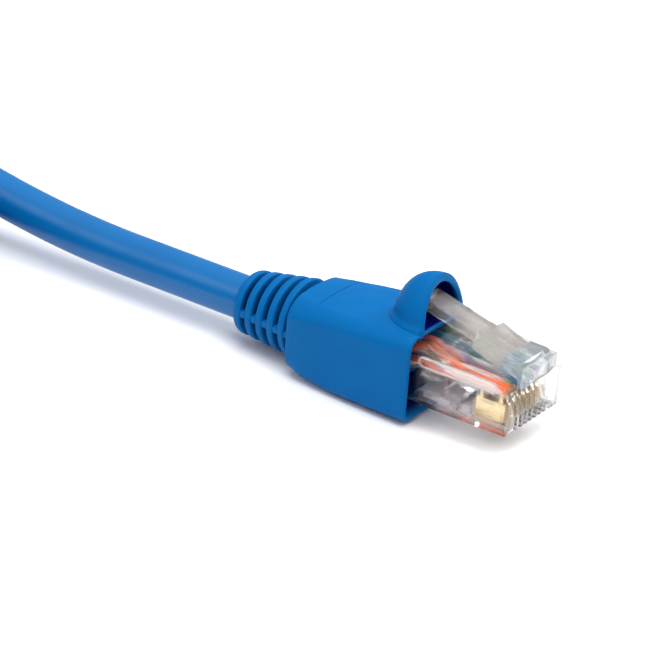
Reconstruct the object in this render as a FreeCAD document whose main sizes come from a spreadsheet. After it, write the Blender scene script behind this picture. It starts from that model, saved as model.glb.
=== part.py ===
"""Network patch lead: two eight-contact plugs with slip-on boots, joined by a round cable.

Each end is made by the same functions in its own frame: x = 0 is the plug's nose and
the cable leaves along -X, y = 0 is the middle, and z = 0 is the plug's underside.
Placements then put the near end over the part's origin and the far end beside the coil.
"""
import FreeCAD, Part
import math
import os
import re
import Sketcher

V = FreeCAD.Vector
ORIGIN = V(0, 0, 0)

# Driving dimensions in millimetres and degrees, one cell each.
SIZES = [
    ("plug_width", 11.68), ("plug_length", 21.46), ("nose_height", 4.9),
    ("face_set_back", 0.65), ("face_height", 6.4), ("body_height", 7.45),
    ("rise_end", 12.7), ("top_end", 15.5), ("rear_height", 6.75),
    ("latch_block_width", 6.02), ("latch_block_depth", 2.9), ("latch_block_height", 8.2),
    ("latch_tail_width", 3.25), ("latch_shoulder", 7.0), ("latch_reach", 15.1),
    ("latch_top_front", 7.75), ("latch_top_shoulder", 9.3), ("latch_top_end", 11.3),
    ("latch_thickness", 1.45), ("latch_gap", 0.12), ("latch_rib", 0.45),
    ("contact_pitch", 1.02), ("contact_thickness", 0.32), ("contact_front", 1.5),
    ("contact_back", 5.3), ("contact_foot", 0.15), ("contact_head", 2.75),
    ("tine_tip", 4.45), ("tine_width", 0.55),
    ("slot_width", 0.42),
    ("wire_diameter", 0.94), ("core_diameter", 0.5), ("wire_level", 4.35),
    ("channel_end", 8.6), ("cavity_width", 9.7), ("cavity_floor", 0.4),
    ("cavity_roof", 6.25), ("fan_end", 12.6), ("fan_low", 4.25), ("fan_high", 5.45),
    ("bar_width", 7.6), ("jacket_front", 16.4), ("jacket_level", 3.35), ("strip_depth", 3.4),
    ("cable_diameter", 5.55), ("jacket_wall", 0.55), ("cable_level", 1.8),
    ("boot_front", 12.9), ("boot_length", 27.5), ("boot_width", 13.8), ("shoulder", 31.1),
    ("boot_bottom", 2.7), ("boot_top", 8.3), ("boot_bore", 5.7), ("bore_start", 30.3),
    ("boot_pocket_gap", 0.12), ("neck_width", 7.9), ("neck_flare", 1.15),
    ("hood_back", 6.3), ("hood_width", 9.1), ("hood_top", 14.0), ("hood_base", 8.0),
    ("hood_lean", 0.8),
    ("hood_wall_side", 0.75), ("hood_wall_top", 1.05),
    ("rib_pitch", 1.79), ("rib_slot", 0.72), ("rib_first", 38.65), ("rib_bridge", 0.85),
    ("coil_inner", 20.2), ("coil_outer", 37.2), ("coil_height", 11.2),
]
CONTACTS = 8
RIB_SLOTS = 5

BUNDLE_RADIUS = 1.52

# Side outlines of the two bars pressed up through the plug's floor, as sheet expressions.
JACKET_BAR = [("-8.7", "0.1"), ("-8.7", "0.75"), ("-12.4", "0.75"), ("-12.4", "0.1")]
WIRE_BAR = [("-5.9", "0.1"), ("-5.9", "0.95"), ("-7.6", "0.95"), ("-7.6", "0.1")]

# The near end's nose and the far end's nose in the part's frame.
NEAR_NOSE = V(20.2, 0, 2.97)
FAR_NOSE = V(-10.6, -69.6, 2.97)
COIL_CENTRE = V(-81.0, -34.7, 0)

# The cable's route outside the coil, corner by corner.
RUN_ROUTE = [
    V(-20.2, 0, 4.77), V(-45, 0, 4.77), V(-57.5, 0, 6.0), V(-68.5, 0, 8.0), V(-77, 0, 8.4),
]
TAIL_ROUTE = [V(-74, -69.6, 4.77), V(-51, -69.6, 4.77)]


def make_sheet(doc):
    """The spreadsheet that holds every driving dimension."""
    sheet = doc.addObject("Spreadsheet::Sheet", "sizes")
    for row, (alias, value) in enumerate(SIZES, start=1):
        sheet.set(f"A{row}", alias)
        sheet.set(f"B{row}", str(value))
        sheet.setAlias(f"B{row}", alias)
    doc.recompute()
    return sheet


def expand(text):
    """Turns each @name in an expression into that cell of the sheet."""
    return re.sub(r"@(\w+)", r"<<sizes>>.\1", text)


def plane(body, role):
    """One of a body's own origin planes."""
    return next(f for f in body.Origin.OriginFeatures if f.Role == role)


def new_body(doc, label, nose):
    body = doc.addObject("PartDesign::Body", label)
    body.Label = label
    body.Placement = FreeCAD.Placement(nose, FreeCAD.Rotation())
    return body


def new_sketch(body, name, role="XZ_Plane", offset=None):
    """An empty sketch on one of the body's planes, moved along its normal by an expression."""
    sketch = body.newObject("Sketcher::SketchObject", name)
    sketch.AttachmentSupport = [(plane(body, role), "")]
    sketch.MapMode = "FlatFace"
    if offset is not None:
        sketch.setExpression("AttachmentOffset.Base.z", expand(offset))
    return sketch


def pin_point(sketch, tag, geo, pos, x, y):
    """Ties one sketch point to two expressions."""
    for axis, kind, text in (("x", "DistanceX", x), ("y", "DistanceY", y)):
        index = sketch.addConstraint(Sketcher.Constraint(kind, -1, 1, geo, pos, 1.0))
        sketch.renameConstraint(index, f"{tag}_{axis}")
        sketch.setExpression(f"Constraints.{tag}_{axis}", expand(text))


def value_of(sheet, text):
    """The number that an expression in sheet cells stands for, used for a first guess."""
    return float(sheet.evalExpression(text.replace("@", "")))


def outline(body, name, points, role="XZ_Plane", offset=None):
    """A closed outline of straight edges; each corner is a pair of expressions."""
    sheet = body.Document.getObject("sizes")
    sketch = new_sketch(body, name, role, offset)
    places = [V(value_of(sheet, x), value_of(sheet, y), 0) for x, y in points]
    for start, end in zip(places, places[1:] + places[:1]):
        sketch.addGeometry(Part.LineSegment(start, end))
    count = len(points)
    for i in range(count):
        sketch.addConstraint(Sketcher.Constraint("Coincident", i, 2, (i + 1) % count, 1))
    for i, (x, y) in enumerate(points):
        pin_point(sketch, f"corner{i}", i, 1, x, y)
    return sketch


def rounded_outline(body, name, role, offset, half, low, high, low_round, high_round):
    """A rectangle with round corners, symmetric about its sketch's upright axis."""
    sheet = body.Document.getObject("sizes")
    sketch = new_sketch(body, name, role, offset)
    corners = [
        (f"({half})-({high_round})", f"({high})-({high_round})", high_round, 0),
        (f"({high_round})-({half})", f"({high})-({high_round})", high_round, 90),
        (f"({low_round})-({half})", f"({low})+({low_round})", low_round, 180),
        (f"({half})-({low_round})", f"({low})+({low_round})", low_round, 270),
    ]
    arcs = []
    for x, y, size, turn in corners:
        middle = V(value_of(sheet, x), value_of(sheet, y), 0)
        circle = Part.Circle(middle, V(0, 0, 1), value_of(sheet, size))
        span = (math.radians(turn), math.radians(turn + 90))
        arcs.append(sketch.addGeometry(Part.ArcOfCircle(circle, *span)))
    for i in range(4):
        start = sketch.getPoint(arcs[i], 2)
        end = sketch.getPoint(arcs[(i + 1) % 4], 1)
        line = sketch.addGeometry(Part.LineSegment(start, end))
        sketch.addConstraint(Sketcher.Constraint("Tangent", arcs[i], 2, line, 1))
        sketch.addConstraint(Sketcher.Constraint("Tangent", line, 2, arcs[(i + 1) % 4], 1))
    for i, (x, y, size, _) in enumerate(corners):
        pin_point(sketch, f"corner{i}", arcs[i], 3, x, y)
        index = sketch.addConstraint(Sketcher.Constraint("Radius", arcs[i], 1.0))
        sketch.renameConstraint(index, f"round{i}")
        sketch.setExpression(f"Constraints.round{i}", expand(size))
    return sketch


def circle_sketch(body, name, role, offset, x, y, radius):
    """One circle whose centre and radius are expressions."""
    sheet = body.Document.getObject("sizes")
    sketch = new_sketch(body, name, role, offset)
    middle = V(value_of(sheet, x), value_of(sheet, y), 0)
    geo = sketch.addGeometry(Part.Circle(middle, V(0, 0, 1), value_of(sheet, radius)))
    pin_point(sketch, "middle", geo, 3, x, y)
    index = sketch.addConstraint(Sketcher.Constraint("Radius", geo, 1.0))
    sketch.renameConstraint(index, "radius")
    sketch.setExpression("Constraints.radius", expand(radius))
    return sketch


def pad(body, name, sketch, length, symmetric=True, backwards=False):
    feature = body.newObject("PartDesign::Pad", name)
    feature.Profile = sketch
    feature.SideType = "Symmetric" if symmetric else "One side"
    feature.Reversed = backwards
    feature.setExpression("Length", expand(length))
    return feature


def pocket(body, name, sketch, length, symmetric=True, backwards=False):
    """A cut through the body; the symmetric ones reach equally far both ways."""
    feature = body.newObject("PartDesign::Pocket", name)
    feature.Profile = sketch
    feature.SideType = "Symmetric" if symmetric else "One side"
    feature.Reversed = backwards
    feature.setExpression("Length", expand(length))
    return feature


def repeat_across(body, name, feature, count, pitch):
    """Copies a feature along +Y."""
    pattern = body.newObject("PartDesign::LinearPattern", name)
    pattern.Originals = [feature]
    axis = next(f for f in body.Origin.OriginFeatures if f.Role == "Y_Axis")
    pattern.Direction = (axis, [""])
    pattern.setExpression("Length", expand(f"{pitch}*{count - 1}"))
    pattern.Occurrences = count
    body.Tip = pattern
    return pattern


def tube_path(points, share=0.45):
    """Straight runs joined by tangent arcs, and the arcs' radii."""
    edges, radii = [], []
    here = points[0]
    for before, corner, after in zip(points, points[1:], points[2:]):
        back, on = before - corner, after - corner
        reach = share * min(back.Length, on.Length)
        half_turn = (math.pi - back.getAngle(on)) / 2
        radius = reach / math.tan(half_turn)
        start = corner + V(back).normalize() * reach
        end = corner + V(on).normalize() * reach
        inward = (V(back).normalize() + V(on).normalize()).normalize()
        middle = corner + inward * (radius / math.cos(half_turn) - radius)
        edges.append(Part.LineSegment(here, start).toShape())
        edges.append(Part.Arc(start, middle, end).toShape())
        radii.append(round(radius, 1))
        here = end
    edges.append(Part.LineSegment(here, points[-1]).toShape())
    return Part.Wire(edges), radii


def swept_tube(points, diameter, name):
    """A round bar along a route, checked against its section times its length."""
    path, radii = tube_path(points)
    along = points[1] - points[0]
    ring = Part.Wire([Part.Circle(points[0], along, diameter / 2).toShape()])
    solid = path.makePipeShell([ring], True, False)
    expected = math.pi * diameter ** 2 / 4 * path.Length
    if abs(solid.Volume / expected - 1) > 0.01:
        raise RuntimeError(f"{name}: volume {solid.Volume:.1f}, expected {expected:.1f}")
    return solid, path.Length, radii


def add_solid(doc, label, shape, nose=ORIGIN):
    feature = doc.addObject("Part::Feature", label)
    feature.Label = label
    feature.Shape = shape
    feature.Placement = FreeCAD.Placement(nose, FreeCAD.Rotation())
    return feature


# ---- the plug ---------------------------------------------------------------------

def plug_housing(doc, label, nose):
    """Clear moulded body: nose, latch block, wire cavity, contact slots and bar windows."""
    body = new_body(doc, label, nose)
    side = outline(body, label + "_side", [
        ("0", "0"), ("0", "@nose_height"), ("-@face_set_back", "@nose_height"),
        ("-@face_set_back", "@face_height"), ("-@rise_end", "@body_height"),
        ("-@top_end", "@body_height"), ("-@top_end-1", "@rear_height"),
        ("-@plug_length", "@rear_height"), ("-@plug_length", "0"),
    ])
    pad(body, label + "_shell", side, "@plug_width")
    block = outline(body, label + "_block_side", [
        ("-0.05", "@nose_height-0.6"), ("-0.05", "@latch_block_height-0.5"),
        ("-0.5", "@latch_block_height"), ("-@latch_block_depth", "@latch_block_height"),
        ("-@latch_block_depth", "@nose_height-0.6"),
    ])
    pad(body, label + "_block", block, "@latch_block_width")
    cavity = outline(body, label + "_cavity_side", [
        ("-@channel_end", "@wire_level-1.3"), ("-@channel_end", "@wire_level+0.75"),
        ("-@channel_end-2.4", "@cavity_roof"), ("-@plug_length-1", "@cavity_roof"),
        ("-@plug_length-1", "@cavity_floor"), ("-@fan_end-1", "@cavity_floor"),
        ("-@fan_end", "1.4"), ("-@channel_end-0.8", "1.4"),
    ])
    pocket(body, label + "_cavity", cavity, "@cavity_width")
    channel = outline(body, label + "_channel_side", [
        ("-@contact_front-0.1", "@wire_level-0.52"), ("-@contact_front-0.1", "@wire_level+0.52"),
        ("-@channel_end-0.5", "@wire_level+0.52"), ("-@channel_end-0.5", "@wire_level-0.52"),
    ])
    pocket(body, label + "_channel", channel, "@contact_pitch*7+@wire_diameter+0.1")
    slot = outline(body, label + "_slot_side", [
        ("1", "-1"), ("1", "1.6"), ("-0.55", "1.6"), ("-@contact_front+0.1", "@wire_level-0.4"),
        ("-@contact_back-0.08", "@wire_level-0.4"), ("-@contact_back-0.08", "-1"),
    ])
    slot.setExpression("AttachmentOffset.Base.z", expand("@contact_pitch*3.5"))
    first = pocket(body, label + "_slot", slot, "@slot_width")
    doc.recompute()
    before = body.Shape.Volume
    repeat_across(body, label + "_slots", first, CONTACTS, "@contact_pitch")
    doc.recompute()
    if body.Shape.Volume > before - 1:
        raise RuntimeError(f"{label}: the contact slots cut nothing")
    for name, corners in (("jacket", JACKET_BAR), ("wire", WIRE_BAR)):
        (front, _), (back, top) = corners[0], corners[2]
        window = outline(body, f"{label}_{name}_window_side", [
            (f"{front}+0.1", "-1"), (f"{front}+0.1", f"{top}+0.1"),
            (f"{back}-0.1", f"{top}+0.1"), (f"{back}-0.1", "-1"),
        ])
        pocket(body, f"{label}_{name}_window", window, "@bar_width+0.2")
    doc.recompute()
    return body


def latch_lever(doc, label, nose):
    """Sprung lever: a wide ramp with two locking shoulders, then a narrow finger tail."""
    body = new_body(doc, label, nose)
    start = "-@latch_block_depth-@latch_gap"
    ramp = outline(body, label + "_ramp_side", [
        (start, "@latch_top_front-1.05"), (start, "@latch_top_front"),
        ("-@latch_shoulder+0.3", "@latch_top_shoulder-0.1"), ("-@latch_shoulder", "@latch_top_shoulder-0.3"),
        ("-@latch_shoulder", "@latch_top_shoulder-@latch_thickness"),
    ])
    pad(body, label + "_ramp", ramp, "@latch_block_width")
    tail = outline(body, label + "_tail_side", [
        ("-@latch_shoulder+2.4", "@latch_top_shoulder-@latch_thickness-0.5"),
        ("-@latch_shoulder+2.4", "@latch_top_shoulder-0.85"),
        ("-@latch_shoulder", "@latch_top_shoulder"), ("-@latch_reach", "@latch_top_end"),
        ("-@latch_reach", "@latch_top_end-@latch_thickness"),
        ("-@latch_shoulder", "@latch_top_shoulder-@latch_thickness"),
    ])
    pad(body, label + "_tail", tail, "@latch_tail_width")
    recess = outline(body, label + "_recess_side", [
        ("-@latch_shoulder-0.6", "@latch_top_shoulder-0.3"),
        ("-@latch_reach+0.7", "@latch_top_end-0.55"),
        ("-@latch_reach+0.7", "@latch_top_end-@latch_thickness-1"),
        ("-@latch_shoulder-0.6", "@latch_top_shoulder-@latch_thickness-1"),
    ])
    pocket(body, label + "_recess", recess, "@latch_tail_width-2*@latch_rib")
    doc.recompute()
    return body


def contact_blade(doc, label, nose, index):
    """One gold-plated blade with two tines that pierce its wire."""
    body = new_body(doc, label, nose)
    side = outline(body, label + "_side", [
        ("-@contact_front", "@contact_foot+0.5"), ("-@contact_front", "@contact_head"),
        ("-@contact_front-0.35", "@contact_head"),
        ("-@contact_front-0.35-@tine_width/2", "@tine_tip"),
        ("-@contact_front-0.35-@tine_width", "@contact_head"),
        ("-@contact_back+0.35+@tine_width", "@contact_head"),
        ("-@contact_back+0.35+@tine_width/2", "@tine_tip"),
        ("-@contact_back+0.35", "@contact_head"), ("-@contact_back", "@contact_head"),
        ("-@contact_back", "@contact_foot"), ("-@contact_front-0.5", "@contact_foot"),
    ])
    side.setExpression("AttachmentOffset.Base.z", expand(f"@contact_pitch*{3.5 - index}"))
    pad(body, label + "_blade", side, "@contact_thickness")
    doc.recompute()
    return body


def wire_route(sizes, index):
    """One conductor's path: flat in its channel, fanned in two tiers, then into the jacket."""
    across = sizes.contact_pitch * (index - 3.5)
    solid_colour = index % 2 == 1
    fan = sizes.fan_high if solid_colour else sizes.fan_low
    step = 22.5 + 45 * (index // 2)
    turn = math.radians(180 - step if solid_colour else 180 + step)
    y, z = BUNDLE_RADIUS * math.cos(turn), sizes.jacket_level + BUNDLE_RADIUS * math.sin(turn)
    return [
        V(-sizes.contact_front - 0.3, across, sizes.wire_level),
        V(-sizes.channel_end, across, sizes.wire_level),
        V(-sizes.fan_end, across, fan),
        V(-sizes.jacket_front - 0.2, y, z), V(-sizes.jacket_front - 2.8, y, z),
    ]


def load_bar(doc, label, nose):
    """Clear tray under the wires that keeps them in order, with a rail up each side."""
    body = new_body(doc, label, nose)
    front, back, low = "-@channel_end-0.95", "-@fan_end+0.3", "@wire_level-1.1"
    floor = outline(body, label + "_floor_side", [
        (front, low), (front, f"{low}+0.4"), (back, f"{low}+0.3"), (back, low),
    ])
    pad(body, label + "_floor", floor, "@cavity_width-0.2")
    rails = outline(body, label + "_rail_side", [
        (front, low), (front, "@wire_level+0.45"), (back, "@wire_level+1.2"), (back, low),
    ])
    pad(body, label + "_rails", rails, "@cavity_width-0.2")
    gap = outline(body, label + "_gap_side", [
        (f"{front}+1", f"{low}+0.4"), (f"{front}+1", "@wire_level+2"),
        (f"{back}-1", "@wire_level+2"), (f"{back}-1", f"{low}+0.4"),
    ])
    pocket(body, label + "_gap", gap, "@cavity_width-1.2")
    doc.recompute()
    return body


def clamp_bar(doc, label, nose, corners):
    """A bar pressed up through the plug's floor, with a wedge-shaped side."""
    body = new_body(doc, label, nose)
    pad(body, label + "_bar", outline(body, label + "_side", corners), "@bar_width")
    doc.recompute()
    return body


def core_group(doc, label, nose, sizes):
    """The bare copper of the eight wires, shown at their cut ends."""
    cores = []
    for index in range(CONTACTS):
        start, end = wire_route(sizes, index)[:2]
        cores.append(Part.makeCylinder(sizes.core_diameter / 2, (end - start).Length, start, end - start))
    return add_solid(doc, label, Part.makeCompound(cores), nose)


def wire(doc, label, nose, sizes, index):
    """One conductor's insulation, hollow where its copper shows."""
    route = wire_route(sizes, index)
    solid, length, _ = swept_tube(route, sizes.wire_diameter, label)
    start, end = route[:2]
    bore = Part.makeCylinder(sizes.core_diameter / 2, (end - start).Length, start, end - start)
    return add_solid(doc, label, solid.cut(bore), nose)


def jacket_end(doc, label, nose, sizes):
    """The cable's jacket from the boot's neck up into the plug, open where the wires leave."""
    front, back = -sizes.jacket_front, -sizes.boot_front - sizes.boot_length
    route = [
        V(front, 0, sizes.jacket_level), V(front - 5.4, 0, sizes.jacket_level),
        V(front - 11.1, 0, sizes.cable_level), V(back, 0, sizes.cable_level),
    ]
    solid, _, radii = swept_tube(route, sizes.cable_diameter, label)
    print(f"{label}: bend radii {radii} mm")
    inside = sizes.cable_diameter / 2 - sizes.jacket_wall
    mouth = Part.makeCylinder(inside, sizes.strip_depth, route[0], V(-1, 0, 0))
    return add_solid(doc, label, solid.cut(mouth), nose)


# ---- the boot ---------------------------------------------------------------------

def boot_sections(body, label):
    """The boot's outer sections, from its square front to the shoulder before the neck."""
    half, bottom, top = "@boot_width/2", "-@boot_bottom", "@boot_top"
    reach = "(@shoulder-@boot_front)"
    stations = [
        ("0", half, bottom, top, "1.3", "1.3"),
        (f"{reach}*0.32", f"{half}-0.15", f"{bottom}-0.12", f"{top}-0.35", "1.35", "1.7"),
        (f"{reach}*0.63", f"{half}-0.45", f"{bottom}-0.25", f"{top}-0.8", "1.5", "2.1"),
        (f"{reach}*0.87", f"{half}-0.8", f"{bottom}-0.1", f"{top}-1.15", "2.1", "3.0"),
        (reach, f"{half}-1.15", f"{bottom}+0.2", f"{top}-1.35", "2.7", "3.6"),
    ]
    return [
        rounded_outline(body, f"{label}_section{i}", "YZ_Plane", f"-@boot_front-{back}",
                        across, low, high, low_round, high_round)
        for i, (back, across, low, high, low_round, high_round) in enumerate(stations)
    ]


def neck(body, label):
    """The round tapered neck behind the boot's square part."""
    wide = circle_sketch(body, label + "_neck_wide", "YZ_Plane", "-@shoulder+0.6",
                         "0", "@cable_level+0.45", "@neck_width/2+@neck_flare")
    slim = circle_sketch(body, label + "_neck_slim", "YZ_Plane", "-@boot_front-@boot_length",
                         "0", "@cable_level-0.1", "@neck_width/2")
    cone = body.newObject("PartDesign::AdditiveLoft", label + "_neck")
    cone.Profile = wide
    cone.Sections = [slim]


def half_dome(body, kind, label, centre, along, across, up):
    """A quarter-sphere shell blank: the upper half of an ellipsoid."""
    dome = body.newObject(f"PartDesign::{kind}Ellipsoid", label)
    dome.AttachmentSupport = [(plane(body, "XY_Plane"), "")]
    dome.MapMode = "FlatFace"
    dome.setExpression("AttachmentOffset.Base.x", expand(centre[0]))
    dome.setExpression("AttachmentOffset.Base.z", expand(centre[1]))
    dome.setExpression("Radius1", expand(up))
    dome.setExpression("Radius2", expand(along))
    dome.setExpression("Radius3", expand(across))
    dome.Angle1 = 0
    dome.Angle2 = 90
    return dome


def rib_slots(body, label):
    """Five slots round the neck, cut above and below the two side bridges."""
    middle = "@cable_level-0.05"
    for i in range(RIB_SLOTS):
        back = f"-@rib_first+{i}*@rib_pitch"
        for side, low, high in (
            ("top", f"{middle}+@rib_bridge/2", "@boot_top+2"),
            ("bottom", "-@boot_bottom-2", f"{middle}-@rib_bridge/2"),
        ):
            box = outline(body, f"{label}_{side}{i}", [
                (f"{back}-@rib_slot/2", low), (f"{back}-@rib_slot/2", high),
                (f"{back}+@rib_slot/2", high), (f"{back}+@rib_slot/2", low),
            ])
            pocket(body, f"{label}_{side}_cut{i}", box, "@boot_width+2")


def boot(doc, label, nose):
    """Slip-on boot: hollow square front, hood over the latch tail, slotted round neck."""
    body = new_body(doc, label, nose)
    sections = boot_sections(body, label)
    skin = body.newObject("PartDesign::AdditiveLoft", label + "_skin")
    skin.Profile = sections[0]
    skin.Sections = sections[1:]
    doc.recompute()
    neck(body, label)
    doc.recompute()
    half_dome(body, "Additive", label + "_hood", ("-@boot_front", "@hood_base"),
              "@hood_back", "@hood_width/2", "@hood_top-@hood_base")
    trim = outline(body, label + "_trim_side", [
        ("-@boot_front", "-10"), ("-@boot_front", "@hood_base"),
        ("-@boot_front-@hood_lean", "@hood_top"), ("-@boot_front-@hood_lean", "30"),
        ("5", "30"), ("5", "-10"),
    ])
    pocket(body, label + "_trim", trim, "40")
    half_dome(body, "Subtractive", label + "_hood_inside", ("-@boot_front", "@hood_base"),
              "@hood_back-@hood_wall_side", "@hood_width/2-@hood_wall_side",
              "@hood_top-@hood_base-@hood_wall_top")
    gap = "@boot_pocket_gap"
    seat = outline(body, label + "_seat_side", [
        ("-@boot_front+1", f"@body_height+{gap}"), (f"-@top_end-1-{gap}", f"@body_height+{gap}"),
        (f"-@top_end-1-{gap}", f"@rear_height+{gap}"),
        (f"-@plug_length-{gap}", f"@rear_height+{gap}"),
        (f"-@plug_length-{gap}", f"-{gap}"), ("-@boot_front-5.5", f"-{gap}"),
        ("-@boot_front-4.5", "-1.7"), ("-@boot_front+1", "-1.7"),
    ])
    pocket(body, label + "_seat", seat, f"@plug_width+2*{gap}")
    throat = rounded_outline(body, label + "_throat_section", "YZ_Plane", "-@boot_front-3",
                             "4.1", "@cable_level-3.1", "@cable_level+4.5", "1.5", "2.0")
    pocket(body, label + "_throat", throat, "@bore_start-@boot_front-3", symmetric=False)
    bore = circle_sketch(body, label + "_bore_ring", "YZ_Plane", "-@plug_length+1",
                         "0", "@cable_level", "@boot_bore/2")
    pocket(body, label + "_bore", bore, "60", symmetric=False)
    rib_slots(body, label + "_rib")
    doc.recompute()
    return body


# ---- the cable --------------------------------------------------------------------

def coil(doc):
    """The outer shape of the wound length: a low ring with rounded edges."""
    body = new_body(doc, "cable_coil", COIL_CENTRE)
    section = outline(body, "coil_side", [
        ("@coil_inner", "1"), ("@coil_inner", "@coil_height-1"), ("@coil_inner+1", "@coil_height"),
        ("@coil_outer-1", "@coil_height"), ("@coil_outer", "@coil_height-1"),
        ("@coil_outer", "1"), ("@coil_outer-1", "0"), ("@coil_inner+1", "0"),
    ])
    turn = body.newObject("PartDesign::Revolution", "coil_ring")
    turn.Profile = section
    turn.ReferenceAxis = (section, ["V_Axis"])
    turn.Angle = 360
    doc.recompute()
    return body


def cable(doc, sizes):
    """The two free stretches of cable and the coil between them."""
    for label, route in (("cable_run", RUN_ROUTE), ("cable_tail", TAIL_ROUTE)):
        solid, length, radii = swept_tube(route, sizes.cable_diameter, label)
        print(f"{label}: {length:.1f} mm long, bend radii {radii} mm")
        add_solid(doc, label, solid)
    coil(doc)


# ---- the two ends -----------------------------------------------------------------

def lead_end(doc, sizes, end, nose):
    """Every piece of one plugged end."""
    plug_housing(doc, f"{end}_plug_housing", nose)
    latch_lever(doc, f"{end}_latch_lever", nose)
    load_bar(doc, f"{end}_load_bar", nose)
    clamp_bar(doc, f"{end}_jacket_clamp_bar", nose, JACKET_BAR)
    clamp_bar(doc, f"{end}_wire_clamp_bar", nose, WIRE_BAR)
    for index in range(CONTACTS):
        contact_blade(doc, f"{end}_contact_{index + 1}", nose, index)
        wire(doc, f"{end}_wire_{index + 1}", nose, sizes, index)
    core_group(doc, f"{end}_wire_cores", nose, sizes)
    jacket_end(doc, f"{end}_jacket_end", nose, sizes)
    boot(doc, f"{end}_boot", nose)


def node_objects(doc):
    """Bodies and free solids, which are the part's nodes."""
    kinds = ("PartDesign::Body", "Part::Feature")
    return [o for o in doc.Objects if o.TypeId in kinds]


def check(doc):
    for item in doc.Objects:
        if "Invalid" in item.State or "Error" in item.State:
            raise RuntimeError(f"{item.Label} failed: {item.State}")
    for node in node_objects(doc):
        if node.Shape.isNull() or not node.Shape.isValid():
            raise RuntimeError(f"{node.Label} has no valid shape")


def main():
    doc = FreeCAD.newDocument("patch_lead")
    sizes = make_sheet(doc)
    lead_end(doc, sizes, "near", NEAR_NOSE)
    lead_end(doc, sizes, "far", FAR_NOSE)
    cable(doc, sizes)
    doc.recompute()
    check(doc)
    os.makedirs("parts", exist_ok=True)
    for node in node_objects(doc):
        node.Shape.exportStep(f"parts/{node.Label}.step")
        print(f"{node.Label}: {node.Shape.Volume:.1f} mm3, {len(node.Shape.Solids)} solid(s)")


main()
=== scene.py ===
# %% [markdown]
# # A network patch lead
#
# The object is a patch lead for a network: a clear plug with eight coloured wires and gilt
# contacts, a soft blue boot with a hood and a slotted neck, and a round blue cable that
# lies in a neat coil and ends in a second plug. The CAD model gives every place and size,
# and this script gives the looks.

# %% Load the frame
import bisect
import math

import bmesh
import bpy
import numpy as np
from mathutils import Matrix, Vector


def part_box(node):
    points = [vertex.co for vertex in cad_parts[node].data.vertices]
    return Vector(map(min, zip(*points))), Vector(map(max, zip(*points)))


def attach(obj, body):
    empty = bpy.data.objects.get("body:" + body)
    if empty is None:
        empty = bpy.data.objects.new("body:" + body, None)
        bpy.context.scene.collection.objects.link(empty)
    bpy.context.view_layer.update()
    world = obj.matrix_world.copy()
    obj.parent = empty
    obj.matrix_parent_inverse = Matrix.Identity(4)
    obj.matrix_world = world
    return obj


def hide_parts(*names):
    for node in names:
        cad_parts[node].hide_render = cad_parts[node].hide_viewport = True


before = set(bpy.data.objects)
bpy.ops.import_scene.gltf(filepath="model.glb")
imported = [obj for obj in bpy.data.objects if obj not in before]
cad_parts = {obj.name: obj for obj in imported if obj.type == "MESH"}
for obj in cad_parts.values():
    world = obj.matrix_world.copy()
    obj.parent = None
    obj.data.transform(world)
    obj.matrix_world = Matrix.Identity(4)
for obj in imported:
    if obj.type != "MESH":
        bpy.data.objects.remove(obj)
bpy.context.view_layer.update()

MM = 0.001
scene = bpy.context.scene

# %% [markdown]
# ## Where the two ends are
#
# Both ends have the same parts, so a place on a plug is given once, in millimetres from
# the middle of the plug's nose on its underside, and moved to either end. The nose is
# the front of the plug housing, so it is read from the frame.

# %% The nose of each plug
ENDS = ("near", "far")


def nose_of(end):
    """The middle of the front edge of a plug's underside, in metres."""
    low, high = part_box(f"{end}_plug_housing")
    return Vector((high[0], (low[1] + high[1]) / 2, low[2]))


NOSE = {end: nose_of(end) for end in ENDS}
print({end: tuple(round(v, 4) for v in nose) for end, nose in NOSE.items()})

# %% [markdown]
# ## The camera
#
# The plug is seen from its near side, from a little in front and above, with a long lens
# held slightly tilted. The camera is placed from those angles round the point it aims at.

# %% Camera
AZIMUTH, ELEVATION, ROLL = math.radians(33.67), math.radians(25.88), math.radians(4.45)
AIM = NOSE["near"] + Vector((-26.575, -4.055, 4.556)) * MM
DISTANCE = 351.8 * MM
LENS = 166.0


def make_camera():
    back = Vector((
        math.sin(AZIMUTH) * math.cos(ELEVATION),
        -math.cos(AZIMUTH) * math.cos(ELEVATION),
        math.sin(ELEVATION),
    ))
    level = Vector((math.cos(AZIMUTH), math.sin(AZIMUTH), 0))
    upright = back.cross(level)
    right = math.cos(ROLL) * level + math.sin(ROLL) * upright
    up = math.cos(ROLL) * upright - math.sin(ROLL) * level
    data = bpy.data.cameras.new("camera")
    data.lens, data.sensor_width = LENS, 36.0
    data.clip_start, data.clip_end = 0.01, 20.0
    camera = bpy.data.objects.new("camera", data)
    turn = Matrix((right, up, back)).transposed().to_4x4()
    camera.matrix_world = Matrix.Translation(AIM + back * DISTANCE) @ turn
    scene.collection.objects.link(camera)
    scene.camera = camera
    return camera


camera = make_camera()
print("camera at", tuple(round(v, 4) for v in camera.location))

# %% [markdown]
# ## Floor and light
#
# The lead lies on a pale matt floor, a fifth of a millimetre below its lowest point so
# that the two never share a plane. The sky is brighter above than at the horizon: clear
# plastic shows its edges only where light and dark meet behind them.

# %% Floor
FLOOR_SIZE, FLOOR_GAP, FLOOR_TONE = 6.0, 0.2 * MM, 0.93


def make_floor():
    bpy.ops.mesh.primitive_plane_add(size=FLOOR_SIZE)
    floor = bpy.context.object
    floor.name = "floor"
    floor.location.z = -FLOOR_GAP
    finish = bpy.data.materials.new("floor_white")
    finish.use_nodes = True
    shader = finish.node_tree.nodes["Principled BSDF"]
    shader.inputs["Base Color"].default_value = (FLOOR_TONE, FLOOR_TONE, FLOOR_TONE, 1)
    shader.inputs["Roughness"].default_value = 0.9
    floor.data.materials.append(finish)
    return floor


print("floor:", make_floor().dimensions.x, "m wide")

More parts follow.
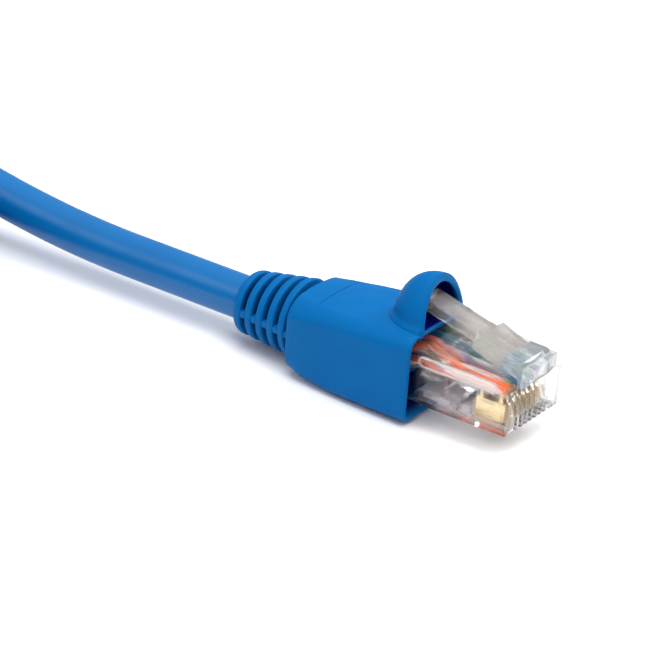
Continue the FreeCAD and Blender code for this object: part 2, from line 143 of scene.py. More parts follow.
# %% Sky
SKY_LOW, SKY_HIGH = 0.2, 0.85


def make_sky():
    world = bpy.data.worlds.new("studio")
    world.use_nodes = True
    nodes, link = world.node_tree.nodes, world.node_tree.links.new
    nodes["Background"].inputs["Color"].default_value = (1, 1, 1, 1)
    place = nodes.new("ShaderNodeTexCoord")
    parts = nodes.new("ShaderNodeSeparateXYZ")
    height = nodes.new("ShaderNodeMapRange")
    height.inputs["To Min"].default_value = SKY_LOW
    height.inputs["To Max"].default_value = SKY_HIGH
    link(place.outputs["Generated"], parts.inputs["Vector"])
    link(parts.outputs["Z"], height.inputs["Value"])
    link(height.outputs["Result"], nodes["Background"].inputs["Strength"])
    scene.world = world


make_sky()
scene.view_settings.view_transform = "Standard"
print("sky from", SKY_LOW, "at the horizon to", SKY_HIGH, "above")

# %% [markdown]
# Three large soft discs give the light. The broad one above makes the gloss along the
# cable, a weak one from the left models the boot's side, and one behind sends light
# through the clear plug. Discs are used because their highlights have no corners.

# %% Lamps
LAMPS = [
    ("top", (0.05, -0.05, 0.55), 0.5, 3.0),
    ("left", (-0.35, -0.35, 0.35), 0.3, 0.4),
    ("behind", (0.25, 0.45, 0.35), 0.3, 1.8),
]
LAMP_AIM = Vector((0, 0, 0.005))


def lamp(name, place, size, power):
    data = bpy.data.lights.new(name, "AREA")
    data.shape, data.size, data.energy = "DISK", size, power
    item = bpy.data.objects.new(name, data)
    item.location = place
    item.rotation_euler = (Vector(place) - LAMP_AIM).to_track_quat("Z", "Y").to_euler()
    scene.collection.objects.link(item)


for entry in LAMPS:
    lamp(*entry)
print("lamps:", ", ".join(f"{name} {power} W" for name, _, _, power in LAMPS))

# %% [markdown]
# ## Shared effects
#
# Real plastic and metal are never one even colour. Two effects are used by several
# materials here, so each is a node group that is made once. Both are fed coordinates and
# give back a colour, a roughness and a normal. These helpers add the nodes they share.

# %% Group helpers
def start_group(name, inputs, outputs):
    """A shader group with its sockets, its two end nodes and nothing between them."""
    group = bpy.data.node_groups.new(name, "ShaderNodeTree")
    for label, kind, value in inputs:
        socket = group.interface.new_socket(label, in_out="INPUT", socket_type=kind)
        if value is not None:
            socket.default_value = value
    for label, kind in outputs:
        group.interface.new_socket(label, in_out="OUTPUT", socket_type=kind)
    return group, group.nodes.new("NodeGroupInput"), group.nodes.new("NodeGroupOutput")


def noise_node(group, vector, scale, detail):
    noise = group.nodes.new("ShaderNodeTexNoise")
    noise.inputs["Detail"].default_value = detail
    group.links.new(vector, noise.inputs["Vector"])
    group.links.new(scale, noise.inputs["Scale"])
    return noise.outputs["Fac"]


def mapped(group, value, low, high):
    """A 0 to 1 mask spread over two limits, each a socket or a number."""
    node = group.nodes.new("ShaderNodeMapRange")
    group.links.new(value, node.inputs["Value"])
    node.inputs["From Min"].default_value = 0.3
    node.inputs["From Max"].default_value = 0.7
    for name, limit in (("To Min", low), ("To Max", high)):
        if isinstance(limit, (int, float)):
            node.inputs[name].default_value = limit
        else:
            group.links.new(limit, node.inputs[name])
    return node.outputs["Result"]


def blend_colours(group, mask, first, second):
    mix = group.nodes.new("ShaderNodeMix")
    mix.data_type = "RGBA"
    group.links.new(mask, mix.inputs["Factor"])
    group.links.new(first, mix.inputs["A"])
    group.links.new(second, mix.inputs["B"])
    return mix.outputs["Result"]


def bumped(group, height, strength, distance):
    bump = group.nodes.new("ShaderNodeBump")
    bump.inputs["Distance"].default_value = distance
    group.links.new(height, bump.inputs["Height"])
    group.links.new(strength, bump.inputs["Strength"])
    return bump.outputs["Normal"]


print("helpers for node groups are ready")

# %% [markdown]
# Both groups have the same sockets, so that a material can use either one. Low and high
# gloss are the two roughness values that the surface wanders between.

# %% The sockets of a surface group
SURFACE_INPUTS = [
    ("Coordinates", "NodeSocketVector", None),
    ("Colour", "NodeSocketColor", (0.5, 0.5, 0.5, 1)),
    ("Second Colour", "NodeSocketColor", (0.4, 0.4, 0.4, 1)),
    ("Patch Scale", "NodeSocketFloat", 300.0), ("Grain Scale", "NodeSocketFloat", 5000.0),
    ("Grain", "NodeSocketFloat", 0.2), ("Gloss Low", "NodeSocketFloat", 0.3),
    ("Gloss High", "NodeSocketFloat", 0.4),
]
SURFACE_OUTPUTS = [
    ("Colour", "NodeSocketColor"), ("Roughness", "NodeSocketFloat"),
    ("Normal", "NodeSocketVector"),
]
print(len(SURFACE_INPUTS), "inputs and", len(SURFACE_OUTPUTS), "outputs")

# %% [markdown]
# Moulded and extruded plastic has a slow change of shade, a fine tooth from its tool and
# a slightly uneven gloss. Two noises are enough: a coarse one mixes the two colours and
# the two roughness values, and a very fine one is the height of the tooth.

# %% Moulded grain
GRAIN_DEPTH = 0.04 * MM


def moulded_grain():
    group, start, end = start_group("moulded grain", SURFACE_INPUTS, SURFACE_OUTPUTS)
    given = start.outputs
    patches = noise_node(group, given["Coordinates"], given["Patch Scale"], 3.0)
    grain = noise_node(group, given["Coordinates"], given["Grain Scale"], 2.0)
    shade = mapped(group, patches, 0.0, 1.0)
    group.links.new(blend_colours(group, shade, given["Colour"], given["Second Colour"]),
                    end.inputs["Colour"])
    group.links.new(mapped(group, patches, given["Gloss Low"], given["Gloss High"]),
                    end.inputs["Roughness"])
    group.links.new(bumped(group, grain, given["Grain"], GRAIN_DEPTH), end.inputs["Normal"])
    return group


GRAIN = moulded_grain()
print("group:", GRAIN.name)

# %% [markdown]
# Drawn wire and stamped contacts keep fine lines along their length. The coordinates are
# squeezed lengthwise before they reach the noise, which pulls its grains into lines.

# %% Drawn lines
LINE_DEPTH, LINE_SQUEEZE = 0.02 * MM, (0.06, 1.0, 1.0)


def drawn_lines():
    group, start, end = start_group("drawn lines", SURFACE_INPUTS, SURFACE_OUTPUTS)
    given = start.outputs
    stretch = group.nodes.new("ShaderNodeVectorMath")
    stretch.operation = "MULTIPLY"
    stretch.inputs[1].default_value = LINE_SQUEEZE
    group.links.new(given["Coordinates"], stretch.inputs[0])
    lines = noise_node(group, stretch.outputs["Vector"], given["Grain Scale"], 4.0)
    patches = noise_node(group, given["Coordinates"], given["Patch Scale"], 2.0)
    shade = mapped(group, patches, 0.0, 1.0)
    group.links.new(blend_colours(group, shade, given["Colour"], given["Second Colour"]),
                    end.inputs["Colour"])
    group.links.new(mapped(group, lines, given["Gloss Low"], given["Gloss High"]),
                    end.inputs["Roughness"])
    group.links.new(bumped(group, lines, given["Grain"], LINE_DEPTH), end.inputs["Normal"])
    return group


LINES = drawn_lines()
print("group:", LINES.name)

# %% [markdown]
# ## Materials
#
# Every material is one Principled shader fed by a shared group, so that the boot, the
# wires and the metal are all made by one function. The pattern reads the piece's own
# object coordinates. What is the same all over a surface, such as how much light it lets
# through, is set on the shader itself.

# %% Material maker
def finish_of(name, group, colour, second, gloss, patch, grain, **constants):
    """A material whose colour, gloss and normal come from a shared group."""
    finish = bpy.data.materials.new(name)
    finish.use_nodes = True
    tree = finish.node_tree
    shader = tree.nodes["Principled BSDF"]
    place = tree.nodes.new("ShaderNodeTexCoord")
    effect = tree.nodes.new("ShaderNodeGroup")
    effect.node_tree = group
    tree.links.new(place.outputs["Object"], effect.inputs["Coordinates"])
    effect.inputs["Colour"].default_value = (*colour, 1)
    effect.inputs["Second Colour"].default_value = (*second, 1)
    effect.inputs["Patch Scale"].default_value = patch
    effect.inputs["Grain Scale"].default_value, effect.inputs["Grain"].default_value = grain
    effect.inputs["Gloss Low"].default_value, effect.inputs["Gloss High"].default_value = gloss
    tree.links.new(effect.outputs["Colour"], shader.inputs["Base Color"])
    tree.links.new(effect.outputs["Roughness"], shader.inputs["Roughness"])
    tree.links.new(effect.outputs["Normal"], shader.inputs["Normal"])
    for socket, value in constants.items():
        shader.inputs[socket.replace("_", " ")].default_value = value
    return finish


print("materials can be made from", GRAIN.name, "and", LINES.name)

# %% [markdown]
# The pale wire of each pair carries a stripe of its partner's colour, laid on by the
# extruder and slightly wound. Each wire keeps its length and its turn in a UV map, so the
# stripe is a slanted band in that map: the turn, plus the length over the stripe's pitch,
# and everything below a share of each turn is coloured.

# %% Stripe
def striped(finish, stripe, share, pitch):
    """Puts a slanted coloured stripe over a wire's material, laid out in the wire's UV map."""
    tree = finish.node_tree
    shader = tree.nodes["Principled BSDF"]
    ground = shader.inputs["Base Color"].links[0].from_socket
    uv = tree.nodes.new("ShaderNodeUVMap")
    uv.uv_map = "lay"
    parts = tree.nodes.new("ShaderNodeSeparateXYZ")
    tree.links.new(uv.outputs["UV"], parts.inputs["Vector"])
    twist = tree.nodes.new("ShaderNodeMath")
    twist.operation = "MULTIPLY_ADD"
    twist.inputs[1].default_value = 1 / pitch
    tree.links.new(parts.outputs["X"], twist.inputs[0])
    tree.links.new(parts.outputs["Y"], twist.inputs[2])
    turn = tree.nodes.new("ShaderNodeMath")
    turn.operation = "FRACT"
    tree.links.new(twist.outputs[0], turn.inputs[0])
    edge = tree.nodes.new("ShaderNodeMath")
    edge.operation = "LESS_THAN"
    edge.inputs[1].default_value = share
    tree.links.new(turn.outputs[0], edge.inputs[0])
    mix = tree.nodes.new("ShaderNodeMix")
    mix.data_type = "RGBA"
    tree.links.new(edge.outputs[0], mix.inputs["Factor"])
    tree.links.new(ground, mix.inputs["A"])
    mix.inputs["B"].default_value = (*stripe, 1)
    tree.links.new(mix.outputs["Result"], shader.inputs["Base Color"])
    return finish


print("a stripe follows the wire's UV map")

# %% [markdown]
# Inside the boot, in the floors of its slots and under its hood, the colour is mixed with a deep
# saturated blue: painted shade for those recesses. The boot's mesh marks those places with its
# own attribute, and the material mixes the painted shade tone in there.

# %% Painted shade inside the boot
def painted_shade_inside(finish, shade_tone):
    """Mixes a painted shade tone into the material where a mesh's own attribute says it is sunk.
    """
    tree = finish.node_tree
    shader = tree.nodes["Principled BSDF"]
    ground = shader.inputs["Base Color"].links[0].from_socket
    sunk = tree.nodes.new("ShaderNodeAttribute")
    sunk.attribute_name = "sunk"
    mix = tree.nodes.new("ShaderNodeMix")
    mix.data_type = "RGBA"
    tree.links.new(sunk.outputs["Fac"], mix.inputs["Factor"])
    tree.links.new(ground, mix.inputs["A"])
    # The deep tone is painted shade.
    mix.inputs["B"].default_value = (*shade_tone, 1)
    tree.links.new(mix.outputs["Result"], shader.inputs["Base Color"])
    return finish


print("the boot's inside is marked by its attribute")

# %% [markdown]
# A thin clear moulding is seen through where it is looked at squarely, and turns bright or dark
# where it is seen edge on. Glass alone bends the view so much that the wires behind it blur. So
# the shader's alpha is low face on and nearly solid towards the edges, which leaves the wires
# sharp and the outline strong. Towards the edges the colour also turns to a darker tone, which is
# a painted reflection of dark surroundings.

# %% Clear when seen squarely
SLOPE_BLEND, SLOPE_FROM, SLOPE_TO = 0.25, 0.18, 0.62


def clearer_face_on(finish, painted_edge_reflection, low, high):
    """Lets a clear material show what is inside face on, and turns it solid and darker towards
    its edges, the darker colour being a painted reflection.
    """
    tree = finish.node_tree
    shader = tree.nodes["Principled BSDF"]
    ground = shader.inputs["Base Color"].links[0].from_socket
    slope = tree.nodes.new("ShaderNodeLayerWeight")
    slope.inputs["Blend"].default_value = SLOPE_BLEND
    spread = tree.nodes.new("ShaderNodeMapRange")
    for label, value in (("From Min", SLOPE_FROM), ("From Max", SLOPE_TO), ("To Min", low),
                         ("To Max", high)):
        spread.inputs[label].default_value = value
    # The colour darkens towards the edges: a painted reflection.
    mix = tree.nodes.new("ShaderNodeMix")
    mix.data_type = "RGBA"
    tree.links.new(slope.outputs["Facing"], spread.inputs["Value"])
    tree.links.new(slope.outputs["Facing"], mix.inputs["Factor"])
    tree.links.new(ground, mix.inputs["A"])
    mix.inputs["B"].default_value = (*painted_edge_reflection, 1)
    tree.links.new(mix.outputs["Result"], shader.inputs["Base Color"])
    tree.links.new(spread.outputs["Result"], shader.inputs["Alpha"])
    return finish


print("clear plastic turns solid between slopes", SLOPE_FROM, "and", SLOPE_TO)

# %% [markdown]
# The soft parts are two vinyls: the boot's is matt, and the cable's jacket is glossier.

# %% Soft plastics
BOOT = finish_of(
    "boot_pvc", GRAIN, (0.0, 0.122, 0.365), (0.0, 0.113, 0.345), gloss=(0.44, 0.52),
    patch=250.0, grain=(7000.0, 0.10), Specular_IOR_Level=0.06)
# The deep navy mixed in where the boot is sunk is painted shade.
painted_shade_inside(BOOT, (0.0, 0.003, 0.10))
JACKET = finish_of(
    "cable_jacket", GRAIN, (0.0, 0.128, 0.370), (0.0, 0.118, 0.350), gloss=(0.26, 0.34),
    patch=160.0, grain=(4000.0, 0.08), Specular_IOR_Level=0.3)
print("soft plastics:", BOOT.name, "and", JACKET.name)

# %% [markdown]
# The plug is one clear polycarbonate, but its parts look different: the thin walls are almost
# colourless, the thick latch is smoky, the solid block at its root is cool and deep, the two
# clamp bars are frosted by their tool, and a moulded edge shines white, which is a painted
# highlight in a pale material.

# %% Clear plastics
CLEAR = finish_of(
    "clear_polycarbonate", GRAIN, (0.97, 0.91, 0.92), (0.94, 0.87, 0.885), gloss=(0.01, 0.03),
    patch=700.0, grain=(2500.0, 0.03), Transmission_Weight=1.0, IOR=1.5)
# The grey edge tone is a painted reflection.
clearer_face_on(CLEAR, (0.24, 0.19, 0.22), 0.28, 0.97)
SMOKY = finish_of(
    "clear_latch", GRAIN, (0.82, 0.79, 0.74), (0.71, 0.68, 0.62), gloss=(0.05, 0.12),
    patch=900.0, grain=(2500.0, 0.08), Transmission_Weight=0.75, IOR=1.5)
# The dark edge tone is a painted reflection.
clearer_face_on(SMOKY, (0.36, 0.34, 0.31), 0.62, 0.97)
BLOCK = finish_of(
    "clear_block", GRAIN, (0.58, 0.68, 0.74), (0.48, 0.60, 0.67), gloss=(0.03, 0.08),
    patch=900.0, grain=(2500.0, 0.06), Transmission_Weight=0.7, IOR=1.45, Alpha=0.85,
    Coat_Weight=0.4, Coat_Roughness=0.03)
FROSTED = finish_of(
    "frosted_bar", GRAIN, (0.90, 0.89, 0.97), (0.80, 0.79, 0.88), gloss=(0.3, 0.45),
    patch=500.0, grain=(4000.0, 0.1), Transmission_Weight=0.05, IOR=1.5)
# The moulded edge is real, and its pale white colour is a painted highlight.
EDGE_HIGHLIGHT = finish_of(
    "clear_edge_highlight", GRAIN, (0.93, 0.92, 0.95), (0.80, 0.79, 0.83), gloss=(0.08, 0.16),
    patch=900.0, grain=(3000.0, 0.08), Transmission_Weight=0.3, IOR=1.5)
print("clear plastics:", ", ".join(f.name for f in (CLEAR, SMOKY, BLOCK, FROSTED, EDGE_HIGHLIGHT)))

# %% [markdown]
# The contacts are plated with gold and the cut ends of the wires are bare copper.

# %% Metals
GILT = finish_of(
    "gold_plate", LINES, (0.98, 0.83, 0.52), (0.95, 0.76, 0.42), gloss=(0.22, 0.38),
    patch=900.0, grain=(6000.0, 0.15), Metallic=1.0)
COPPER = finish_of(
    "bare_copper", LINES, (0.80, 0.42, 0.26), (0.62, 0.30, 0.18), gloss=(0.25, 0.42),
    patch=1200.0, grain=(6000.0, 0.2), Metallic=1.0)
print("metals:", GILT.name, "and", COPPER.name)

# %% [markdown]
# The eight wires come in four pairs. A pair has one wire in its full colour and one pale
# wire with a stripe of it. They are listed from the near side, in the usual order.

# %% Insulation
ORANGE, GREEN = (1.0, 0.16, 0.006), (0.0, 0.20, 0.035)
BLUE, BROWN = (0.0, 0.11, 0.33), (0.15, 0.02, 0.012)
PALE = (0.92, 0.86, 0.82)
PALE_SHARE, STRIPE_SHARE, STRIPE_PITCH = 0.78, 0.42, 14.0


def insulation(name, colour, pale):
    if pale:
        tint = tuple(PALE_SHARE * p + (1 - PALE_SHARE) * c for p, c in zip(PALE, colour))
        ground = (tint, PALE)
    else:
        ground = (colour, tuple(c * 0.8 for c in colour))
    finish = finish_of(name, GRAIN, *ground, gloss=(0.30, 0.42), patch=600.0,
                       grain=(6000.0, 0.1), Specular_IOR_Level=0.5)
    return striped(finish, colour, STRIPE_SHARE, STRIPE_PITCH) if pale else finish


WIRE_SLOTS = [
    ("insulation_white_orange", ORANGE, True), ("insulation_orange", ORANGE, False),
    ("insulation_white_green", GREEN, True), ("insulation_blue", BLUE, False),
    ("insulation_white_blue", BLUE, True), ("insulation_green", GREEN, False),
    ("insulation_white_brown", BROWN, True), ("insulation_brown", BROWN, False),
]
WIRE_FINISHES = [insulation(*entry) for entry in WIRE_SLOTS]
print(len(WIRE_FINISHES), "wire colours")

# %% [markdown]
# ## Mesh helpers
#
# A place on a plug is given in millimetres behind, beside and above its nose. A mesh that
# is the same at both ends can be made once and moved by the step between the two noses.

# %% Places
END_STEP = {end: NOSE[end] - NOSE["near"] for end in ENDS}


def spot(back, side, up, end="near"):
    """A place in metres, from millimetres behind, beside and above a plug's nose."""
    return NOSE[end] + Vector((-back, side, up)) * MM


print("step to the far end:", tuple(round(v, 4) for v in END_STEP["far"]))

# %% [markdown]
# Most pieces are a run of rings of points, joined by quads: a pipe is, and so is a boot.
# After that, points that fall together are merged, faces are turned outwards and every
# edge under a limit angle is smoothed.

# %% Rings to a closed mesh
MERGE, SHARP_ANGLE = 2e-6, math.radians(38)


def add_piece(name, mesh, finish):
    item = bpy.data.objects.new(name, mesh)
    scene.collection.objects.link(item)
    mesh.materials.clear()
    mesh.materials.append(finish)
    return item


def closed_mesh(name, work):
    """Merges doubles, turns faces outwards and smooths all but the sharp edges."""
    bmesh.ops.remove_doubles(work, verts=work.verts[:], dist=MERGE)
    bmesh.ops.recalc_face_normals(work, faces=work.faces[:])
    for face in work.faces:
        face.smooth = True
    mesh = bpy.data.meshes.new(name)
    work.to_mesh(mesh)
    work.free()
    mesh.set_sharp_from_angle(angle=SHARP_ANGLE)
    return mesh


def band(work, rings, closed_run=False):
    """Quads between neighbouring rings of points."""
    rows = [[work.verts.new(p) for p in ring] for ring in rings]
    runs = list(zip(rows, rows[1:])) + ([(rows[-1], rows[0])] if closed_run else [])
    count = len(rows[0])
    for first, second in runs:
        for i in range(count):
            j = (i + 1) % count
            work.faces.new((first[i], first[j], second[j], second[i]))
    return rows


print("smooth below", round(math.degrees(SHARP_ANGLE)), "degrees")

# %% [markdown]
# A moulded part with flat faces is right as the CAD gives it, but its edges are knife
# sharp and catch no light. A copy of its mesh is merged, its flat triangles are joined,
# and a narrow bevel is put on the edges that a test picks. The CAD mesh is left alone.

# %% Softened copy of a CAD part
CAD_MERGE, FLAT_ANGLE, BEVEL_ANGLE = 1e-6, math.radians(1.5), math.radians(28)


def every_edge(edge):
    return True


def softened(name, node, finish, width, keep=every_edge):
    """A copy of a CAD node's mesh with a bevel, in millimetres, on the edges that keep picks."""
    work = bmesh.new()
    work.from_mesh(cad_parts[node].data)
    bmesh.ops.remove_doubles(work, verts=work.verts[:], dist=CAD_MERGE)
    bmesh.ops.dissolve_limit(work, angle_limit=FLAT_ANGLE, verts=work.verts[:],
                             edges=work.edges[:])
    sharp = [e for e in work.edges
             if e.is_manifold and e.calc_face_angle(0) > BEVEL_ANGLE and keep(e)]
    bmesh.ops.bevel(work, geom=sharp, offset=width * MM, segments=2, profile=0.6,
                    affect="EDGES", clamp_overlap=True)
    bmesh.ops.triangulate(work, faces=[f for f in work.faces if len(f.verts) > 4])
    return add_piece(name, closed_mesh(name, work), finish)


print("bevels go on edges over", round(math.degrees(BEVEL_ANGLE)), "degrees")

# %% [markdown]
# ## The boots
#
# The boot is one moulding of soft vinyl that is slipped over the plug. Its square body
# tapers back to a round neck with five slots, which let it bend. Cutting slots with
# booleans would leave a rough mesh, so the skin is a run of closed rings instead: from the
# mouth's lip back over the body and the neck, and forward again through the inside. Every
# ring is sampled by the same rays from its middle, so square and round ones join up.

# %% Sizes of the boot
# Each section: behind the nose, half width, bottom, top, lower and upper corner, crown.
BODY_SECTIONS = [
    (12.9, 6.9, -2.7, 8.3, 1.3, 1.8, 0.006), (18.7, 6.75, -2.82, 7.95, 1.35, 1.8, 0.008),
    (24.4, 6.45, -2.95, 7.55, 1.5, 1.9, 0.012), (28.7, 6.1, -2.8, 7.25, 1.9, 2.3, 0.018),
    (31.1, 5.72, -2.5, 7.1, 2.4, 2.6, 0.022),
]
MOUTH, PANEL_LINE, SHOULDER, REAR = 12.9, 27.5, 31.1, 40.4
BODY_MIDDLE, BORE_MIDDLE, CABLE_LEVEL, BORE = 2.4, 1.72, 1.8, 2.87
SLOT_CENTRES = [38.65 - 1.79 * i for i in range(5)]
SLOT_HALF, RIB_ROUND, BRIDGE_HALF, BRIDGE_LEVEL = 0.36, 0.32, 0.43, 1.75
SHOULDER_ROUND, COLLAR_ROUND = 0.45, 0.8
PANEL_DEPTH, PANEL_LEVEL, PANEL_HALF = 0.14, 4.2, 4.6
NECK_MIDDLE, NECK_DROP, NECK_RADIUS, NECK_TAPER = 2.25, 0.55, 5.12, 1.17
print(len(SLOT_CENTRES), "slots from", round(SLOT_CENTRES[-1], 2), "to", SLOT_CENTRES[0], "mm")

# %% [markdown]
# A ring is kept as a reach for each ray: how far that ray goes before it meets the
# section. A circle's reach has a formula. A rounded rectangle's is found by halving the
# gap between a point inside and a point outside, for all the rays together.

# %% Rays and reaches
RAYS, HALVINGS, OUTSIDE = 288, 22, 14.0
turns = np.linspace(0, 2 * np.pi, RAYS, endpoint=False)
ACROSS, UP = np.cos(turns), np.sin(turns)


def body_section(back):
    """The body's section there, on a smooth line through the listed ones."""
    backs = [s[0] for s in BODY_SECTIONS]
    i = min(max(bisect.bisect_right(backs, back) - 1, 0), len(backs) - 2)
    picks = [BODY_SECTIONS[min(max(k, 0), len(backs) - 1)] for k in (i - 1, i, i + 1, i + 2)]
    t = (back - backs[i]) / (backs[i + 1] - backs[i])
    values = []
    for a, b, c, d in list(zip(*picks))[1:]:
        slope_b, slope_c = (c - a) / 2, (d - b) / 2
        values.append((2 * t**3 - 3 * t**2 + 1) * b + (t**3 - 2 * t**2 + t) * slope_b
                      + (3 * t**2 - 2 * t**3) * c + (t**3 - t**2) * slope_c)
    return values


def rectangle_reach(middle, half, low, high, low_round, high_round):
    """How far each ray goes from (0, middle) to a rounded rectangle."""
    near, far = np.zeros(RAYS), np.full(RAYS, OUTSIDE)
    for _ in range(HALVINGS):
        reach = (near + far) / 2
        side, level = np.abs(ACROSS * reach), middle + UP * reach
        upper = level >= middle
        radius = np.where(upper, high_round, low_round)
        out_side = side - (half - radius)
        out_level = np.where(upper, level - (high - radius), (low + radius) - level)
        beyond = np.hypot(np.maximum(out_side, 0), np.maximum(out_level, 0)) - radius
        beyond += np.minimum(np.maximum(out_side, out_level), 0)
        near, far = np.where(beyond < 0, reach, near), np.where(beyond < 0, far, reach)
    return reach


def circle_reach(middle, centre, radius):
    """How far each ray goes from (0, middle) to a circle round (0, centre)."""
    along = UP * (centre - middle)
    return along + np.sqrt(along**2 + radius**2 - (centre - middle) ** 2)


def ring_points(back, middle, reach, crown=0.0):
    """The ring's points, with its top side bowed down towards both edges."""
    side, up = ACROSS * reach, UP * reach
    up = up - crown * side**2 * np.clip(up / up.max(), 0, 1) ** 2
    return [spot(back, a, middle + u) for a, u in zip(side, up)]


print("section at the mouth:", body_section(MOUTH)[:3])

# %% [markdown]
# The neck is a cone with soft ribs. Inside a slot the ring sinks to the cable's bore, but
# not at two narrow bridges, one on each side, which hold the ribs together.

# %% Neck
def neck_ring(back, inside_slot):
    """One ring of the neck: a cone with soft ribs, sunk to the cable inside a slot."""
    share = (back - SHOULDER) / (REAR - SHOULDER)
    middle, radius = NECK_MIDDLE - NECK_DROP * share, NECK_RADIUS - NECK_TAPER * share
    gap = min(abs(back - c) for c in SLOT_CENTRES) - SLOT_HALF
    if gap < RIB_ROUND:
        fall = 1 - max(gap, 0.0) / RIB_ROUND
        soft = radius - RIB_ROUND * (1 - math.sqrt(max(1 - fall * fall, 0)))
    else:
        soft = radius
    if back > REAR - COLLAR_ROUND:
        over = (back - REAR + COLLAR_ROUND) / COLLAR_ROUND
        soft = min(soft, radius - COLLAR_ROUND * (1 - math.sqrt(max(1 - over * over, 0))))
    reach = np.full(RAYS, soft)
    if inside_slot:
        level = middle + UP * radius
        away = np.clip((np.abs(level - BRIDGE_LEVEL) - BRIDGE_HALF) / 0.12, 0, 1)
        floor = circle_reach(middle, CABLE_LEVEL, BORE + 0.06)
        reach = (radius - 0.14) * (1 - away) + floor * away
    return ring_points(back, middle, reach)


def neck_stations():
    """Where the neck's rings stand, each with whether it lies inside a slot."""
    stations = []
    for centre in SLOT_CENTRES:
        for away in (0.32, 0.24, 0.16, 0.09, 0.04, 0.0):
            stations += [(centre - SLOT_HALF - away, False), (centre + SLOT_HALF + away, False)]
        stations += [(centre - SLOT_HALF + 0.004, True), (centre + SLOT_HALF - 0.004, True)]
    collar = (39.4, 39.65, 39.85, 40.02, 40.17, 40.28, 40.35, REAR - 0.012)
    stations += [(back, False) for back in collar]
    return sorted(s for s in stations if s[0] > SHOULDER)


print(len(neck_stations()), "rings on the neck")

# %% [markdown]
# The body's rings follow its listed sections. A few closer rings round the lip of the
# mouth and the shoulder, and two steps sink the fine panel line that crosses the top.

# %% Outside of the body
def body_ring(back, section, inset, panel=False):
    half, low, high, low_round, high_round, crown = section
    reach = rectangle_reach(BODY_MIDDLE, half - inset, low + inset, high - inset, low_round,
                            high_round)
    if panel:
        on_top = (UP * reach > PANEL_LEVEL) & (np.abs(ACROSS * reach) < PANEL_HALF)
        reach = reach - PANEL_DEPTH * on_top
    return ring_points(back, BODY_MIDDLE, reach, crown)


def outer_rings():
    lip = ((12.90, 0.28), (12.93, 0.16), (13.02, 0.06))
    rings = [body_ring(back, BODY_SECTIONS[0][1:], inset) for back, inset in lip]
    backs = list(np.arange(13.2, 30.7, 0.5)) + [27.3, 27.38, 27.46, 27.54, 27.62, 27.7]
    backs += [30.75, 30.88, 30.98, 31.05, 31.09]
    for back in sorted(backs):
        edge = max(0.0, back - (SHOULDER - SHOULDER_ROUND)) / SHOULDER_ROUND
        inset = SHOULDER_ROUND * (1 - math.sqrt(max(1 - edge * edge, 0)))
        panel = abs(back - PANEL_LINE) < 0.1
        rings.append(body_ring(back, body_section(back), inset, panel))
    return rings + [neck_ring(back, sunk) for back, sunk in neck_stations()]


OUTSIDE_RINGS = outer_rings()
print(len(OUTSIDE_RINGS), "rings outside")

# %% [markdown]
# Inside, a round bore holds the cable, and a square seat fits closely round the plug. The
# seat opens out a little at the mouth's lip, as a moulded mouth does.

# %% Inside
BORE_RINGS = [(REAR, 3.1), (REAR, BORE + 0.08), (REAR - 0.08, BORE), (30.6, BORE)]
SEAT_RINGS = [
    (30.3, 4.1, -1.25, 6.2, 1.6, 1.6), (21.65, 4.1, -1.25, 6.2, 1.6, 1.6),
    (21.62, 5.97, -1.3, 6.88, 0.25, 0.25), (18.6, 5.97, -1.35, 7.0, 0.25, 0.25),
    (17.6, 5.97, -1.7, 7.2, 0.3, 0.3), (16.6, 5.97, -1.7, 7.57, 0.3, 0.3),
    (13.9, 5.97, -1.72, 7.57, 0.35, 0.35), (13.15, 6.22, -2.1, 7.7, 0.6, 1.0),
    (12.93, 6.35, -2.22, 7.75, 0.75, 1.3),
]


def inner_rings():
    """The inside, from the rear hole forward to the mouth."""
    rings = [ring_points(back, BORE_MIDDLE, circle_reach(BORE_MIDDLE, CABLE_LEVEL, radius))
             for back, radius in BORE_RINGS]
    return rings + [ring_points(back, BODY_MIDDLE, rectangle_reach(BODY_MIDDLE, *section))
                    for back, *section in SEAT_RINGS]


INSIDE_RINGS = inner_rings()
print(len(INSIDE_RINGS), "rings inside")

# %% [markdown]
# The hood keeps the latch from catching when the lead is pulled out of a bundle. It is a
# quarter of an egg shell with a leaning front rim, and its foot flares out to meet the
# body in a soft crease. Two turns give every point of it: one from side to side over the
# top, and one from the rim to the back.

# %% Hood
HOOD_BACK, HOOD_HALF, HOOD_TOP, HOOD_FOOT, HOOD_LEAN = 6.3, 4.5, 14.0, 7.6, 0.85
HOOD_FRONT, BODY_TOP, LIP = 12.92, 8.3, Vector((0.1, 0, 0)) * MM
HOOD_STEPS, HOOD_SLICES = 28, 56


def hood_spot(turn, lift, wall):
    """A point of the shell: turn goes from side to side over the top, lift from rim to back."""
    half, back = HOOD_HALF - 0.72 * wall, HOOD_BACK - 0.8 * wall
    top = HOOD_TOP - HOOD_FOOT - 1.0 * wall
    side = half * math.cos(turn) * math.cos(lift)
    up = HOOD_FOOT + top * math.sin(turn) * math.cos(lift)
    lean = HOOD_LEAN * max(up - BODY_TOP, 0) / (HOOD_TOP - BODY_TOP)
    behind = HOOD_FRONT + back * math.sin(lift) + lean * math.cos(lift)
    if not wall:
        surface = BODY_TOP - 0.06 * (behind - MOUTH)
        flare = 0.5 * max(0.0, 1 - max(up - surface, 0) / 0.75) ** 2
        side += flare * math.copysign(1, side) * abs(math.cos(turn)) ** 0.5 * math.cos(lift)
        behind += flare * math.sin(lift)
    return spot(behind, side, up)


def hood_profile(turn):
    """A closed outline of the shell's wall: out along the outside and back along the inside."""
    steps = [math.radians(90) * i / HOOD_STEPS for i in range(HOOD_STEPS + 1)]
    outer = [hood_spot(turn, lift, 0) for lift in steps]
    inner = [hood_spot(turn, lift, 1) for lift in reversed(steps)]
    lip = (outer[0] + inner[-1]) / 2 + LIP / 2
    outer[0] -= LIP
    inner[-1] -= LIP
    return outer + inner + [lip]


print("hood:", HOOD_SLICES, "slices over", 2 * HOOD_HALF, "mm")
